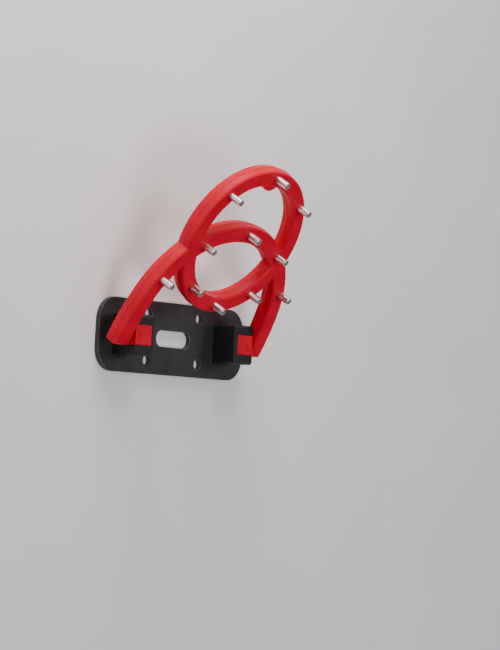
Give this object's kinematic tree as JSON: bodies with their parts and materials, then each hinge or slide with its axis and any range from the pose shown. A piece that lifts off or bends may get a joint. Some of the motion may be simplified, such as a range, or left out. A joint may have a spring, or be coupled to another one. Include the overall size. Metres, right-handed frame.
{
  "type": "flip-out ice cleat",
  "caption": "Red studded flip-out ice cleat for a boot sole: a ring crossed by a horseshoe arch, hinged at two square blocks on an anchor plate.",
  "frame": {"origin": "underside of the anchor plate, straight under the middle of the hinge axis", "axes": "+X along the hinge axis, +Y towards the toe of the sole the cleat is fitted to, +Z out of the sole"},
  "size_m": [0.0682, 0.0633, 0.0424],
  "materials": {
    "red_plastic": "satin glass-filled nylon with a fine moulding ridge at half thickness",
    "red_cap": "matt moulded nylon",
    "black_plastic": "matt moulded nylon",
    "stud_steel": "bright turned steel",
    "stud_core": "ground tungsten carbide, dark grey",
    "black_plate": "stamped steel with a thin black coat, worn bright along the edges",
    "plate_steel": "plain stamped steel",
    "hinge_steel": "plain machined steel"
  },
  "bodies": {
    "base": {"anchor_plate": "black_plate", "left_hinge_housing": "black_plastic", "left_hinge_cap": "red_cap", "left_detent_spring": "hinge_steel", "left_heel_rivet": "hinge_steel", "left_toe_rivet": "hinge_steel", "right_hinge_housing": "black_plastic", "right_hinge_cap": "red_cap", "right_detent_spring": "hinge_steel", "right_heel_rivet": "hinge_steel", "right_toe_rivet": "hinge_steel"},
    "cleat": {"frame_front_shell": "red_plastic", "frame_back_shell": "red_plastic", "stiffener_plate": "plate_steel", "ring_stud_far_end": "stud_steel", "ring_stud_far_left": "stud_steel", "ring_stud_far_right": "stud_steel", "ring_stud_near_left": "stud_steel", "ring_stud_near_right": "stud_steel", "ring_stud_near_end": "stud_steel", "arch_stud_top": "stud_steel", "arch_stud_left_shoulder": "stud_steel", "arch_stud_right_shoulder": "stud_steel", "arch_stud_left_leg": "stud_steel", "arch_stud_right_leg": "stud_steel", "ring_stud_far_end_core": "stud_core", "ring_stud_far_left_core": "stud_core", "ring_stud_far_right_core": "stud_core", "ring_stud_near_left_core": "stud_core", "ring_stud_near_right_core": "stud_core", "ring_stud_near_end_core": "stud_core", "arch_stud_top_core": "stud_core", "arch_stud_left_shoulder_core": "stud_core", "arch_stud_right_shoulder_core": "stud_core", "arch_stud_left_leg_core": "stud_core", "arch_stud_right_leg_core": "stud_core", "left_axle": "hinge_steel", "right_axle": "hinge_steel"}
  },
  "joints": [
    {"name": "cleat_flip", "type": "hinge", "parent": "base", "child": "cleat", "pos_m": [0, 0, 0.0074], "axis": [1, 0, 0], "range_deg": [-30, 150]}
  ]
}
